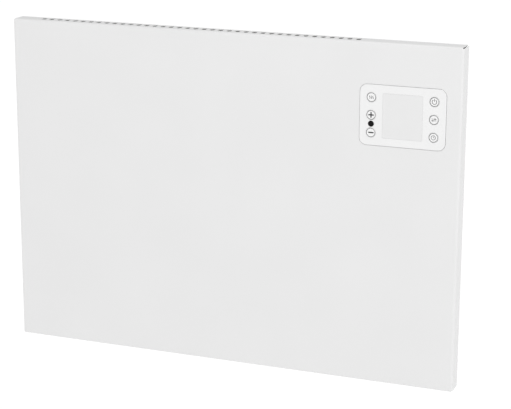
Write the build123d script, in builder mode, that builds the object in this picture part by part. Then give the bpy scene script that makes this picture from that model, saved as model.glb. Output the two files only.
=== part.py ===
from build123d import *
import os

# Wall panel convector heater. Millimetres, +Z up, X to the right as seen from the room.
# The wall is the plane Y = 0 and the room is at -Y. "out" always means the distance from the wall.
# The origin is the centre of the wall bracket's four screw holes, on the wall.

# ---------------------------------------------------------------- front panel, a folded steel tray
panel_width = 600.0
panel_height = 430.0
panel_depth = 23.0
panel_sheet = 0.8
panel_bend = 2.5  # outside radius of the folded front edges
lip_width = 12.0  # lip turned in behind each folded side, measured from the outside
lip_mitre = 1.0  # gap between two lips, which meet at 45 degrees
corner_notch = 1.6  # open corner between two folded sides

slot_length = 10.0  # air slots in the top and the bottom of the tray, which run from front to back
slot_width = 6.0
slot_pitch = 11.25
slot_first = 38.8  # first slot's centre from the panel's left edge
slot_from_back = 10.3  # slots' centres from the tray's back

# ---------------------------------------------------------------- rear cover, a channel closed by two end strips
cover_depth = 34.0
cover_sheet = 0.8
cover_inset = 20.0  # cover's walls from the panel's outline
cover_bend = 3.0
rim_inset = 3.0  # flanges' edges from the panel's outline
rim_corner = 8.0
end_tab = 6.0  # end strips' tabs over the back sheet
end_tab_bend = 1.0
end_tab_short = 5.0  # ends short of the cover's walls
wall_gap = 22.0  # free space between the wall and the cover

vent_length = 18.0  # vents in the cover's top and bottom walls
vent_width = 4.5
vent_pitch = 13.0
vent_from_side = 34.0  # vents from the cover's left wall and the partition

# ---------------------------------------------------------------- wall bracket, a channel with two hooks
bracket_width = 320.0
bracket_height = 60.0
bracket_sheet = 2.0
bracket_bend = 3.0
bracket_clear = 1.0  # channel's front edges from the rear cover
hook_spacing = 255.0
hook_width = 25.0
hook_rise = 10.0
hook_gap = 1.2  # tongue from the inside of the rear cover
hook_lead = 0.8  # chamfer on the tongue's tip
hook_above_middle = 85.0  # bearing edge above the panel's middle
hook_side_play = 1.5
hook_slot_play = 0.6
lift_travel = 12.0
wall_screw_dx = 240.0
wall_screw_dz = 34.0
wall_screw_hole = 5.5

spacer_from_side = 65.0  # two feet that keep the heater's lower half off the wall
spacer_above_bottom = 37.0
spacer_diameter = 18.0
spacer_pad = 2.5  # rubber tip
spacer_pad_edge = 1.2
spacer_stub = 6.0
spacer_stub_length = 4.0

# ---------------------------------------------------------------- screws
screw_shank = 3.0
screw_head = 6.2
screw_head_height = 1.8
screw_play = 0.1  # radial play of a shank in its hole
screw_cross = 3.2  # length of the cross recess
screw_cross_width = 0.8
screw_cross_depth = 1.0
cover_screw_inset = 7.5  # from the panel's outline
cover_screw_corner = 45.0  # outermost screws from the panel's corners
sheet_screw_length = 5.5
cover_screws_across = 4
cover_screws_down = 2

# ---------------------------------------------------------------- control panel
control_width = 107.5
control_height = 74.6
control_corner = 9.0
control_from_right = 19.2
control_from_top = 51.4
fascia_proud = 0.5
fascia_gap = 0.4  # shadow gap between the fascia and the panel's cutout
fascia_edge = 0.4
flange_reach = 2.5  # fascia's flange behind the panel, past the cutout's edge
flange_thick = 1.2
window_width = 50.0
window_height = 55.0
window_corner = 1.5
window_thick = 1.6
window_ledge = 2.5
window_play = 0.1
key_diameter = 11.6
key_play = 0.35
key_proud = 0.3
key_edge = 0.25
key_flange = 0.9  # radial width of the retaining flange
key_flange_thick = 1.0
key_seat = 0.1  # flange behind the fascia
key_travel = 0.6
key_from_side = 14.6  # key centres from the fascia's sides
key_pitch = 21.7
plunger_diameter = 3.4
plunger_play = 0.3
plunger_length = 2.0
plunger_floor = 0.3  # under the plunger when the key is down
switch_size = 6.0
switch_height = 3.4
ir_diameter = 7.4
ir_proud = 0.4
ir_play = 0.1
ir_receiver_size = 5.6
board_gap = 6.0  # fascia's back to the control board
board_thick = 1.6
board_inset = 3.0  # board's edges from the fascia's outline
board_corner = 2.0
boss_diameter = 5.0
boss_inset = 7.0  # boss centres from the fascia's outline
pilot_depth = 5.0
module_margin = 2.0
module_gap = 0.3
housing_wall = 1.8
housing_depth = 17.0
gasket_thick = 0.6
gasket_width = 2.0
ribbon_width = 12.0
ribbon_thick = 0.8
ribbon_slot_width = 14.0
ribbon_slot_height = 3.2

# ---------------------------------------------------------------- heating element
element_from_side = 32.0  # element's ends from the cover's left wall and the partition
element_out = 54.0
element_above_bottom = 95.0
fin_reach_up = 32.0
fin_reach_out = 13.0
fin_thick = 2.2
fin_tube = 14.0
fin_notch = 4.0
fin_notch_count = 19
rod_diameter = 8.5
rod_play = 0.15
rod_end = 16.0
rod_pin_diameter = 3.5
rod_pin_length = 6.0
stand_gap = 8.0  # element's end to its bracket
stand_sheet = 1.2
stand_height = 76.0
stand_front = 66.0
stand_foot = 14.0
bush_diameter = 16.0
bush_flange = 20.0
bush_flange_thick = 2.0
bush_play = 0.1

# ---------------------------------------------------------------- heat shield, partition and stiffeners
shield_sheet = 0.6
shield_standoff = 10.2
shield_short = 5.0  # ends short of the element's
shield_height = 236.0
shield_above_bottom = 46.0
shield_lip = 8.0
standoff_diameter = 10.0
standoff_from_side = 45.0  # from the shield's edges
standoff_from_end = 43.0
cutout_can = 16.0
cutout_can_height = 8.0
cutout_flange = 26.0
cutout_flange_width = 9.0
cutout_flange_thick = 1.0
cutout_above_element = 60.0
cutout_tab = 6.3
cutout_tab_length = 7.0
cutout_tab_thick = 0.8
chamber_width = 94.0  # electronics chamber, from the partition to the cover's right wall
partition_sheet = 0.8
partition_foot = 9.0
partition_short = 4.0  # ends short of the cover's top and bottom walls
partition_front_gap = 3.0
partition_under_control = 8.0
stiffener_width = 26.0
stiffener_crown = 14.0
stiffener_depth = 8.0
stiffener_sheet = 0.8
stiffener_length = 330.0
stiffener_spacing = 190.0

# ---------------------------------------------------------------- electronics chamber
power_width = 78.0
power_height = 108.0
power_above_bottom = 87.0
power_standoff = 10.0
power_standoff_diameter = 7.0
power_hole_inset = 5.0
relay_width = 19.0
relay_height = 15.5
relay_depth = 15.5
relay_spacing = 22.0
coil_width = 22.0
coil_height = 24.0
coil_depth = 17.0
coil_foot = 1.5
film_width = 24.0
film_height = 9.0
film_depth = 15.0
strip_left = 4.0  # from the middle of the chamber
strip_width = 50.0
strip_height = 11.0
strip_depth = 13.0
strip_poles = 5
strip_well = 3.3  # radius of a clamp screw's well
strip_well_depth = 3.2
socket_width = 14.0
socket_height = 6.0
socket_depth = 6.0
component_edge = 6.0  # components from the power board's edges
mains_width = 36.0
mains_height = 18.0
mains_depth = 16.0
mains_poles = 3
mains_rows = 9.0  # between the two rows of wells
mains_well = 2.3
mains_well_depth = 4.0
mains_above_bottom = 46.0
mains_left = 16.0  # from the middle of the chamber
wire_diameter = 2.6
wire_bend = 6.0  # bend radius of a wire's middle line
lead_out = 43.0  # middle of the element leads' grommet
lead_spacing = 4.0
lead_below_element = 42.0
lead_over_cutout = 16.0
lead_past_stand = 16.0
grommet_hole = 14.0
grommet_flange = 2.0
grommet_length = 4.0
clip_width = 8.0
clip_wall = 1.2
clip_play = 0.1
clip_count = 3
clip_spacing = 140.0
wire_rise = 8.0
rocker_wire_drop = 8.0

# ---------------------------------------------------------------- rocker switch in the cover's right wall
rocker_above_bottom = 50.0
rocker_out = 39.0
rocker_bezel_length = 21.0
rocker_bezel_width = 15.0
rocker_bezel_thick = 2.0
rocker_body_length = 19.0
rocker_body_width = 13.0
rocker_body_depth = 18.0
rocker_body_play = 0.1
rocker_opening_length = 17.6
rocker_width = 10.6
rocker_side_play = 0.2
rocker_radius = 8.4
rocker_pivot_depth = 4.0
rocker_crown = 3.2
rocker_tilt = 12.0
rocker_pin = 2.4
rocker_pin_length = 0.6
rocker_pin_play = 0.05
rocker_end_play = 0.1
rocker_floor_gap = 0.6
rocker_tab_length = 7.0
rocker_tab_width = 6.3
rocker_tab_thick = 0.8
rocker_tab_pitch = 8.0

# ---------------------------------------------------------------- cord inlet, earth stud and room sensor
gland_out = 39.0
gland_bore = 7.4
gland_thread = 12.0
gland_flange = 17.0
gland_flange_height = 4.0
gland_edge = 1.3
gland_inside = 9.0
gland_play = 0.15
gland_nut_height = 4.0
gland_nut_across = 17.0
stud_diameter = 4.0
stud_length = 12.0
stud_nut_across = 7.0
stud_nut_height = 3.2
stud_under_terminals = 12.0
sensor_diameter = 4.0
sensor_length = 16.0
sensor_proud = 5.0
sensor_tip = 1.3
sensor_play = 0.2
sensor_block = 10.0
sensor_block_corner = 1.0
sensor_block_height = 7.0
sensor_from_side = 24.0

# ---------------------------------------------------------------- places worked out from the sizes above
cover_floor = wall_gap + cover_sheet
panel_back = wall_gap + cover_depth
panel_front = panel_back + panel_depth
panel_inside = panel_front - panel_sheet
inner_width = panel_width - 2 * panel_sheet
inner_height = panel_height - 2 * panel_sheet
mitre_length = lip_width * 2**0.5 + 2 * lip_mitre  # runs past both ends of the mitre
panel_middle = bracket_height / 2 - hook_above_middle
panel_top = panel_middle + panel_height / 2
panel_bottom = panel_middle - panel_height / 2

box_width = panel_width - 2 * cover_inset
box_height = panel_height - 2 * cover_inset
box_right = box_width / 2
box_top = panel_middle + box_height / 2
box_bottom = panel_middle - box_height / 2
rim_right = panel_width / 2 - rim_inset
rim_top = panel_top - rim_inset
pan_right = box_right - cover_sheet  # inside faces of the cover
pan_top = box_top - cover_sheet
pan_bottom = box_bottom + cover_sheet

partition_x = pan_right - chamber_width  # between the hot chamber and the electronics chamber
hot_width = partition_x + pan_right
hot_middle = (partition_x - pan_right) / 2
chamber_x = (partition_x + partition_sheet + pan_right) / 2  # middle of the electronics chamber
slot_start = -panel_width / 2 + slot_first
slot_count = int((partition_x - slot_start) / slot_pitch)
slot_middle = slot_start + slot_pitch * (slot_count - 1) / 2
slot_out = panel_back + slot_from_back
vent_count = int((hot_width - 2 * vent_from_side) / vent_pitch) + 1
vent_out = wall_gap + cover_depth / 2

bracket_depth = wall_gap - bracket_clear
bracket_top = bracket_height / 2
hook_end = cover_floor + hook_gap + bracket_sheet
hook_neck = hook_end - bracket_depth + bracket_sheet  # overlaps the channel's top
hook_slot_height = bracket_sheet + lift_travel + hook_slot_play
hook_slot_width = hook_width + 2 * hook_side_play
spacer_x = box_right - spacer_from_side
spacer_z = panel_bottom + spacer_above_bottom

cutout_width = control_width + 2 * fascia_gap
cutout_height = control_height + 2 * fascia_gap
cutout_corner = control_corner + fascia_gap
flange_width = cutout_width + 2 * flange_reach  # also the outline of the gasket and the housing
flange_height = cutout_height + 2 * flange_reach
flange_corner = cutout_corner + flange_reach
control_x = panel_width / 2 - control_from_right - control_width / 2
control_z = panel_top - control_from_top - control_height / 2
fascia_front = panel_front + fascia_proud
flange_front = panel_inside - gasket_thick
fascia_back = flange_front - flange_thick
fascia_thick = fascia_front - fascia_back
board_front = fascia_back - board_gap
board_back = board_front - board_thick
board_width = control_width - 2 * board_inset
board_height = control_height - 2 * board_inset
key_dx = control_width - 2 * key_from_side
boss_dx = control_width - 2 * boss_inset
boss_dz = control_height - 2 * boss_inset
key_back = fascia_back - key_seat - key_flange_thick
switch_front = board_front + switch_height
switch_recess = switch_front - key_back + plunger_length + key_travel + plunger_floor
ir_z = control_z - key_pitch / 2
housing_back = fascia_back - housing_depth

element_length = hot_width - 2 * element_from_side
element_z = panel_bottom + element_above_bottom
shield_back = cover_floor + shield_standoff
shield_front = shield_back + shield_sheet
shield_z = panel_bottom + shield_above_bottom + shield_height / 2
shield_width = element_length - 2 * shield_short
standoff_dx = shield_width - 2 * standoff_from_side
standoff_dz = shield_height - 2 * standoff_from_end
cutout_z = element_z + cutout_above_element

power_back = cover_floor + power_standoff
power_front = power_back + board_thick
power_bottom = panel_bottom + power_above_bottom
power_z = power_bottom + power_height / 2
power_top = power_bottom + power_height
relay_x = chamber_x - power_width / 2 + component_edge + relay_width / 2
relay_z = power_top - component_edge - 2 * socket_height - relay_height / 2
coil_x = chamber_x + power_width / 2 - component_edge - coil_width / 2
coil_z = relay_z + relay_height / 2 - coil_height / 2
film_z = coil_z - coil_height / 2 - component_edge - film_height / 2
strip_x = chamber_x - strip_left
strip_z = power_bottom + component_edge + strip_height / 2
socket_z = power_top - component_edge - socket_height / 2
mains_x = chamber_x - mains_left
mains_z = panel_bottom + mains_above_bottom + mains_height / 2
mains_pitch = mains_width / mains_poles
lead_z = element_z - lead_below_element
grommet_right = partition_x + (partition_sheet + grommet_length) / 2

cutout_tab_x = cutout_can / 4  # from the middle of the can
pin_reach = element_length / 2 + rod_end + rod_pin_length / 2
side_lead_x = hot_middle + element_length / 2 + stand_gap + lead_past_stand
front_lead_out = lead_out + lead_spacing / 2
back_lead_out = lead_out - lead_spacing / 2
strip_bottom = strip_z - strip_height / 2
strip_wire_out = power_front + strip_depth / 2
strip_wire_x = [strip_x + strip_width * ((i + 0.5) / strip_poles - 0.5) for i in range(strip_poles)]
mains_wire_out = cover_floor + mains_depth / 2

rocker_z = panel_bottom + rocker_above_bottom
rocker_face = box_right + rocker_bezel_thick
rocker_pivot_x = rocker_face - rocker_pivot_depth
rocker_opening_width = rocker_width + 2 * rocker_side_play
rocker_wire_x = box_right - rocker_body_depth - rocker_tab_length / 3
rocker_tab_reach = (rocker_tab_pitch + rocker_tab_thick) / 2
stud_x = mains_x - mains_pitch
stud_z = mains_z - mains_height / 2 - stud_under_terminals
sensor_x = pan_right - sensor_from_side

os.makedirs("parts", exist_ok=True)


def facing(out, x=0.0, z=0.0):
    """A plane parallel to the wall: its x is +X, its y is +Z, and it extrudes towards the room."""
    return Plane(origin=(x, -out, z), x_dir=(1, 0, 0), z_dir=(0, -1, 0))


def lying(z, x=0.0, out=0.0):
    """A level plane: its x is +X, its y points to the wall, and it extrudes upwards."""
    return Plane(origin=(x, -out, z), x_dir=(1, 0, 0), z_dir=(0, 0, 1))


def upright(x, out=0.0, z=0.0):
    """A plane square to the wall: its x points to the room, its y is +Z, and it extrudes towards -X."""
    return Plane(origin=(x, -out, z), x_dir=(0, -1, 0), z_dir=(-1, 0, 0))


def faces_at(shape, out):
    """The flat faces of a shape that lie at one distance from the wall."""
    return shape.faces().filter_by(Axis.Y).filter_by(lambda face: abs(face.center().Y + out) < 0.01)


def add_pan_head_screws(seat, points, length):
    """Adds pan-head screws: the heads stand on the seat plane, and the shanks go into it."""
    with BuildSketch(seat) as heads:
        with Locations(*points):
            Circle(screw_head / 2)
    extrude(heads.sketch, amount=screw_head_height)
    with BuildSketch(seat) as shanks:
        with Locations(*points):
            Circle(screw_shank / 2)
    extrude(shanks.sketch, amount=-length)
    with BuildSketch(seat.offset(screw_head_height)) as crosses:
        with Locations(*points):
            Rectangle(screw_cross, screw_cross_width)
            Rectangle(screw_cross_width, screw_cross)
    extrude(crosses.sketch, amount=-screw_cross_depth, mode=Mode.SUBTRACT)


def cut_screw_holes(plane, points, depth):
    """Cuts round holes that clear a screw's shank, from the plane along its normal."""
    with BuildSketch(plane) as holes:
        with Locations(*points):
            Circle(screw_shank / 2 + screw_play)
    extrude(holes.sketch, amount=depth, mode=Mode.SUBTRACT)


def corners(dx, dz):
    """The four corners of a rectangle about the sketch's origin."""
    return [(sx * dx / 2, sz * dz / 2) for sx in (-1, 1) for sz in (-1, 1)]


def rim_points():
    """Places of the screws that hold the rear cover, about the panel's middle."""
    reach_x = panel_width / 2 - cover_screw_inset
    reach_z = panel_height / 2 - cover_screw_inset
    span_x = panel_width - 2 * cover_screw_corner
    span_z = panel_height - 2 * cover_screw_corner
    across = [span_x * (i / (cover_screws_across - 1) - 0.5) for i in range(cover_screws_across)]
    down = [span_z * (i / (cover_screws_down - 1) - 0.5) for i in range(cover_screws_down)]
    level = [(x, side * reach_z) for x in across for side in (-1, 1)]
    return level + [(side * reach_x, z) for z in down for side in (-1, 1)]


def add_wire(*points):
    """Adds a round wire along straight runs joined by arcs. Points are (x, out, z)."""
    route = [(x, -out, z) for x, out, z in points]
    with BuildLine() as path:
        if len(route) > 2:
            FilletPolyline(*route, radius=wire_bend)
        else:
            Line(*route)
    with BuildSketch(Plane(origin=path.line @ 0, z_dir=path.line % 0)) as section:
        Circle(wire_diameter / 2)
    sweep(section.sketch, path=path.line)


shield_screws = corners(standoff_dx, standoff_dz)
power_screws = corners(power_width - 2 * power_hole_inset, power_height - 2 * power_hole_inset)
control_posts = corners(boss_dx, boss_dz)

# ================================================================ casing
with BuildPart() as front_panel:
    with BuildSketch(facing(panel_back, 0, panel_middle)):
        Rectangle(panel_width, panel_height)
    extrude(amount=panel_depth)
    fillet(faces_at(front_panel.part, panel_front).edges(), panel_bend)
    with BuildSketch(facing(panel_back + panel_sheet, 0, panel_middle)):
        Rectangle(inner_width, inner_height)
    extrude(amount=panel_depth - 2 * panel_sheet, mode=Mode.SUBTRACT)
    fillet(faces_at(front_panel.part, panel_inside).edges(), panel_bend - panel_sheet)
    # the opening between the four lips, and the gaps where two lips meet
    with BuildSketch(facing(panel_back, 0, panel_middle)):
        Rectangle(panel_width - 2 * lip_width, panel_height - 2 * lip_width)
        for x, z in corners(panel_width - lip_width, panel_height - lip_width):
            with Locations((x, z)):
                Rectangle(mitre_length, lip_mitre, rotation=45 if x * z > 0 else -45)
    extrude(amount=panel_sheet, mode=Mode.SUBTRACT)
    # open corners of the folded tray, which run on through its bends
    with BuildSketch(facing(panel_back, 0, panel_middle)):
        with GridLocations(panel_width - corner_notch, panel_height - corner_notch, 2, 2):
            Rectangle(corner_notch, corner_notch)
    extrude(amount=panel_depth, mode=Mode.SUBTRACT)
    # one row of air slots through the top and the bottom
    with BuildSketch(lying(panel_top, slot_middle, slot_out)):
        with GridLocations(slot_pitch, 1, slot_count, 1):
            SlotOverall(slot_length, slot_width, rotation=90)
    extrude(amount=-panel_height, mode=Mode.SUBTRACT)
    with BuildSketch(facing(panel_inside, control_x, control_z)):
        RectangleRounded(cutout_width, cutout_height, cutout_corner)
    extrude(amount=panel_sheet, mode=Mode.SUBTRACT)
    cut_screw_holes(facing(panel_back, 0, panel_middle), rim_points(), panel_sheet)
front_panel.part.label = "front_panel"
export_step(front_panel.part, "parts/front_panel.step")

with BuildPart() as panel_stiffeners:
    for place in (-1, 1):
        stiffener_x = hot_middle + place * stiffener_spacing / 2
        with BuildSketch(lying(panel_middle - stiffener_length / 2, stiffener_x)):
            with BuildLine():
                Polyline(
                    (-stiffener_width / 2, -panel_inside + stiffener_sheet / 2),
                    (-stiffener_crown / 2, -panel_inside + stiffener_sheet / 2),
                    (-stiffener_crown / 2, -panel_inside + stiffener_depth - stiffener_sheet / 2),
                    (stiffener_crown / 2, -panel_inside + stiffener_depth - stiffener_sheet / 2),
                    (stiffener_crown / 2, -panel_inside + stiffener_sheet / 2),
                    (stiffener_width / 2, -panel_inside + stiffener_sheet / 2),
                )
            trace(line_width=stiffener_sheet)
        extrude(amount=stiffener_length)
panel_stiffeners.part.label = "panel_stiffeners"
export_step(panel_stiffeners.part, "parts/panel_stiffeners.step")

with BuildPart() as rear_cover:
    with BuildSketch(lying(pan_bottom, 0, wall_gap)) as outside:
        Rectangle(box_width, cover_depth, align=(Align.CENTER, Align.MAX))
        fillet(outside.vertices().group_by(Axis.Y)[-1], cover_bend)
    extrude(amount=pan_top - pan_bottom)
    with BuildSketch(lying(pan_bottom, 0, cover_floor)) as inside:
        Rectangle(2 * pan_right, cover_depth - cover_sheet, align=(Align.CENTER, Align.MAX))
        fillet(inside.vertices().group_by(Axis.Y)[-1], cover_bend - cover_sheet)
    extrude(amount=pan_top - pan_bottom, mode=Mode.SUBTRACT)
    with BuildSketch(lying(pan_bottom, 0, panel_back - cover_sheet)):
        with GridLocations(rim_right + pan_right, 1, 2, 1):
            Rectangle(rim_right - pan_right, cover_sheet, align=(Align.CENTER, Align.MAX))
    extrude(amount=pan_top - pan_bottom)
    # two slots that hang on the bracket's hooks: their upper edges bear on the hooks
    with BuildSketch(facing(wall_gap, 0, bracket_top)):
        with GridLocations(hook_spacing, 1, 2, 1):
            Rectangle(hook_slot_width, hook_slot_height, align=(Align.CENTER, Align.MAX))
    extrude(amount=cover_sheet, mode=Mode.SUBTRACT)
    cut_screw_holes(facing(panel_back - cover_sheet, 0, panel_middle), rim_points(), cover_sheet)
    cut_screw_holes(facing(wall_gap, 0, spacer_z), [(-spacer_x, 0), (spacer_x, 0)], cover_sheet)
    with BuildSketch(upright(box_right, rocker_out, rocker_z)):
        Rectangle(rocker_body_width + 2 * rocker_body_play, rocker_body_length + 2 * rocker_body_play)
    extrude(amount=cover_sheet, mode=Mode.SUBTRACT)
rear_cover.part.label = "rear_cover"
export_step(rear_cover.part, "parts/rear_cover.step")

# two strips close the channel's ends; each has a flange at its front and a tab over the back sheet
with BuildPart() as cover_ends:
    with BuildSketch(lying(pan_top, 0, wall_gap)) as end_wall:
        Rectangle(box_width, cover_depth, align=(Align.CENTER, Align.MAX))
        fillet(end_wall.vertices().group_by(Axis.Y)[-1], cover_bend)
    extrude(amount=cover_sheet)
    with BuildSketch(facing(panel_back - cover_sheet, 0, pan_top)) as end_flange:
        Rectangle(2 * rim_right, rim_top - pan_top, align=(Align.CENTER, Align.MIN))
        fillet(end_flange.vertices().group_by(Axis.Y)[-1], rim_corner)
    extrude(amount=cover_sheet)
    with BuildSketch(facing(wall_gap - cover_sheet, 0, box_top)):
        Rectangle(box_width - 2 * end_tab_short, end_tab, align=(Align.CENTER, Align.MAX))
    extrude(amount=cover_sheet)
    tab_edges = faces_at(cover_ends.part, wall_gap - cover_sheet).edges().filter_by(Axis.X)
    fillet(tab_edges.group_by(Axis.Z)[-1], end_tab_bend)
    mirror(about=Plane(origin=(0, 0, panel_middle), z_dir=(0, 0, 1)))
    with BuildSketch(lying(box_top, hot_middle, vent_out)):
        with GridLocations(vent_pitch, 1, vent_count, 1):
            SlotOverall(vent_length, vent_width, rotation=90)
    extrude(amount=-box_height, mode=Mode.SUBTRACT)
    cut_screw_holes(facing(panel_back - cover_sheet, 0, panel_middle), rim_points(), cover_sheet)
    with BuildSketch(lying(box_bottom, chamber_x, gland_out)):
        Circle(gland_thread / 2 + gland_play)
    extrude(amount=cover_sheet, mode=Mode.SUBTRACT)
    with BuildSketch(lying(box_bottom, sensor_x, gland_out)):
        Circle(sensor_diameter / 2 + sensor_play)
    extrude(amount=cover_sheet, mode=Mode.SUBTRACT)
cover_ends.part.label = "cover_ends"
export_step(cover_ends.part, "parts/cover_ends.step")

with BuildPart() as cover_screws:
    add_pan_head_screws(
        Plane(origin=(0, cover_sheet - panel_back, panel_middle), x_dir=(1, 0, 0), z_dir=(0, 1, 0)),
        [(x, -z) for x, z in rim_points()],
        sheet_screw_length,
    )
cover_screws.part.label = "cover_screws"
export_step(cover_screws.part, "parts/cover_screws.step")

# ================================================================ wall bracket and feet
with BuildPart() as wall_bracket:
    with BuildSketch(upright(bracket_width / 2)):
        Rectangle(bracket_depth, bracket_height, align=(Align.MIN, Align.CENTER))
        with Locations((bracket_sheet, 0)):
            Rectangle(
                bracket_depth,
                bracket_height - 2 * bracket_sheet,
                align=(Align.MIN, Align.CENTER),
                mode=Mode.SUBTRACT,
            )
    extrude(amount=bracket_width)
    fillet(wall_bracket.edges().filter_by(Axis.X).group_by(Axis.Y)[-2], bracket_bend - bracket_sheet)
    fillet(wall_bracket.edges().filter_by(Axis.X).group_by(Axis.Y)[-1], bracket_bend)
    # each hook: a neck that goes on from the channel's top, and a tongue turned up behind the cover's wall
    for place in (-1, 1):
        with BuildSketch(upright(place * hook_spacing / 2 + hook_width / 2, 0, bracket_top)) as hook:
            with Locations((hook_end, 0)):
                Rectangle(hook_neck, bracket_sheet, align=(Align.MAX, Align.MAX))
            with Locations((hook_end, -bracket_sheet)):
                Rectangle(bracket_sheet, bracket_sheet + hook_rise, align=(Align.MAX, Align.MIN))
            chamfer(hook.vertices().group_by(Axis.Y)[-1], hook_lead)
        extrude(amount=hook_width)
    with BuildSketch(facing(0)):
        with GridLocations(wall_screw_dx, wall_screw_dz, 2, 2):
            Circle(wall_screw_hole / 2)
    extrude(amount=bracket_sheet, mode=Mode.SUBTRACT)
wall_bracket.part.label = "wall_bracket"
export_step(wall_bracket.part, "parts/wall_bracket.step")

with BuildPart() as wall_spacers:
    with BuildSketch(facing(spacer_pad, 0, spacer_z)):
        with Locations((-spacer_x, 0), (spacer_x, 0)):
            Circle(spacer_diameter / 2)
    extrude(amount=wall_gap - spacer_pad)
    with BuildSketch(facing(spacer_pad, 0, spacer_z)):
        with Locations((-spacer_x, 0), (spacer_x, 0)):
            Circle(spacer_stub / 2 + screw_play)
    extrude(amount=spacer_stub_length + screw_play, mode=Mode.SUBTRACT)
    cut_screw_holes(facing(wall_gap, 0, spacer_z), [(-spacer_x, 0), (spacer_x, 0)], -sheet_screw_length)
wall_spacers.part.label = "wall_spacers"
export_step(wall_spacers.part, "parts/wall_spacers.step")

with BuildPart() as spacer_pads:
    with BuildSketch(facing(0, 0, spacer_z)):
        with Locations((-spacer_x, 0), (spacer_x, 0)):
            Circle(spacer_diameter / 2)
    extrude(amount=spacer_pad)
    fillet(faces_at(spacer_pads.part, 0).edges(), spacer_pad_edge)
    with BuildSketch(facing(spacer_pad, 0, spacer_z)):
        with Locations((-spacer_x, 0), (spacer_x, 0)):
            Circle(spacer_stub / 2)
    extrude(amount=spacer_stub_length)
spacer_pads.part.label = "spacer_pads"
export_step(spacer_pads.part, "parts/spacer_pads.step")

# ================================================================ control panel
with BuildPart() as control_fascia:
    with BuildSketch(facing(fascia_back, control_x, control_z)):
        RectangleRounded(control_width, control_height, control_corner)
    extrude(amount=fascia_thick)
    fillet(faces_at(control_fascia.part, fascia_front).edges(), fascia_edge)
    with BuildSketch(facing(fascia_back, control_x, control_z)):
        RectangleRounded(flange_width, flange_height, flange_corner)
    extrude(amount=flange_thick)
    with BuildSketch(facing(board_front, control_x, control_z)):
        with Locations(*control_posts):
            Circle(boss_diameter / 2)
    extrude(amount=board_gap)
    with BuildSketch(facing(fascia_back, control_x, control_z)):
        with GridLocations(key_dx, key_pitch, 2, 3):
            Circle(key_diameter / 2 + key_play)
        with Locations((-key_dx / 2, -key_pitch / 2)):
            Circle(ir_diameter / 2 + ir_play)
        Rectangle(window_width - 2 * window_ledge, window_height - 2 * window_ledge)
    extrude(amount=fascia_thick, mode=Mode.SUBTRACT)
    with BuildSketch(facing(fascia_front - window_thick, control_x, control_z)):
        RectangleRounded(window_width + 2 * window_play, window_height + 2 * window_play, window_corner)
    extrude(amount=window_thick, mode=Mode.SUBTRACT)
    cut_screw_holes(facing(board_front, control_x, control_z), control_posts, pilot_depth)
control_fascia.part.label = "control_fascia"
export_step(control_fascia.part, "parts/control_fascia.step")

with BuildPart() as display_window:
    with BuildSketch(facing(fascia_front - window_thick, control_x, control_z)):
        RectangleRounded(window_width, window_height, window_corner)
    extrude(amount=window_thick)
display_window.part.label = "display_window"
export_step(display_window.part, "parts/display_window.step")

with BuildPart() as display_module:
    with BuildSketch(facing(board_front, control_x, control_z)):
        Rectangle(window_width + 2 * module_margin, window_height + 2 * module_margin)
    extrude(amount=board_gap - module_gap)
display_module.part.label = "display_module"
export_step(display_module.part, "parts/display_module.step")

with BuildPart() as ir_lens:
    with BuildSketch(facing(fascia_back, control_x - key_dx / 2, ir_z)):
        Circle(ir_diameter / 2)
    extrude(amount=fascia_thick + ir_proud)
    fillet(faces_at(ir_lens.part, fascia_front + ir_proud).edges(), ir_proud)
ir_lens.part.label = "ir_lens"
export_step(ir_lens.part, "parts/ir_lens.step")

with BuildPart() as ir_receiver:
    with BuildSketch(facing(board_front, control_x - key_dx / 2, ir_z)):
        Rectangle(ir_receiver_size, ir_receiver_size)
    extrude(amount=board_gap - module_gap)
ir_receiver.part.label = "ir_receiver"
export_step(ir_receiver.part, "parts/ir_receiver.step")

with BuildPart() as control_board:
    with BuildSketch(facing(board_back, control_x, control_z)):
        RectangleRounded(board_width, board_height, board_corner)
    extrude(amount=board_thick)
    cut_screw_holes(facing(board_back, control_x, control_z), control_posts, board_thick)
control_board.part.label = "control_board"
export_step(control_board.part, "parts/control_board.step")

with BuildPart() as tactile_switches:
    with BuildSketch(facing(board_front, control_x, control_z)):
        with GridLocations(key_dx, key_pitch, 2, 3):
            Rectangle(switch_size, switch_size)
    extrude(amount=switch_height)
    with BuildSketch(facing(switch_front, control_x, control_z)):
        with GridLocations(key_dx, key_pitch, 2, 3):
            Circle(plunger_diameter / 2 + plunger_play)
    extrude(amount=-switch_recess, mode=Mode.SUBTRACT)
tactile_switches.part.label = "tactile_switches"
export_step(tactile_switches.part, "parts/tactile_switches.step")

key_places = {
    "mode": (-1, 1),
    "plus": (-1, 0),
    "minus": (-1, -1),
    "power": (1, 1),
    "set": (1, 0),
    "timer": (1, -1),
}
for key_name, (column, row) in key_places.items():
    key_x = control_x + column * key_dx / 2
    key_z = control_z + row * key_pitch
    with BuildPart() as key_cap:
        with BuildSketch(facing(key_back, key_x, key_z)):
            Circle(key_diameter / 2 + key_flange)
        extrude(amount=key_flange_thick)
        with BuildSketch(facing(key_back, key_x, key_z)):
            Circle(key_diameter / 2)
        extrude(amount=fascia_front + key_proud - key_back)
        fillet(faces_at(key_cap.part, fascia_front + key_proud).edges(), key_edge)
    key_cap.part.label = f"key_{key_name}"
    export_step(key_cap.part, f"parts/key_{key_name}.step")
    with BuildPart() as plunger:
        with BuildSketch(facing(key_back, key_x, key_z)):
            Circle(plunger_diameter / 2)
        extrude(amount=-plunger_length)
    plunger.part.label = f"plunger_{key_name}"
    export_step(plunger.part, f"parts/plunger_{key_name}.step")

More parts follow.
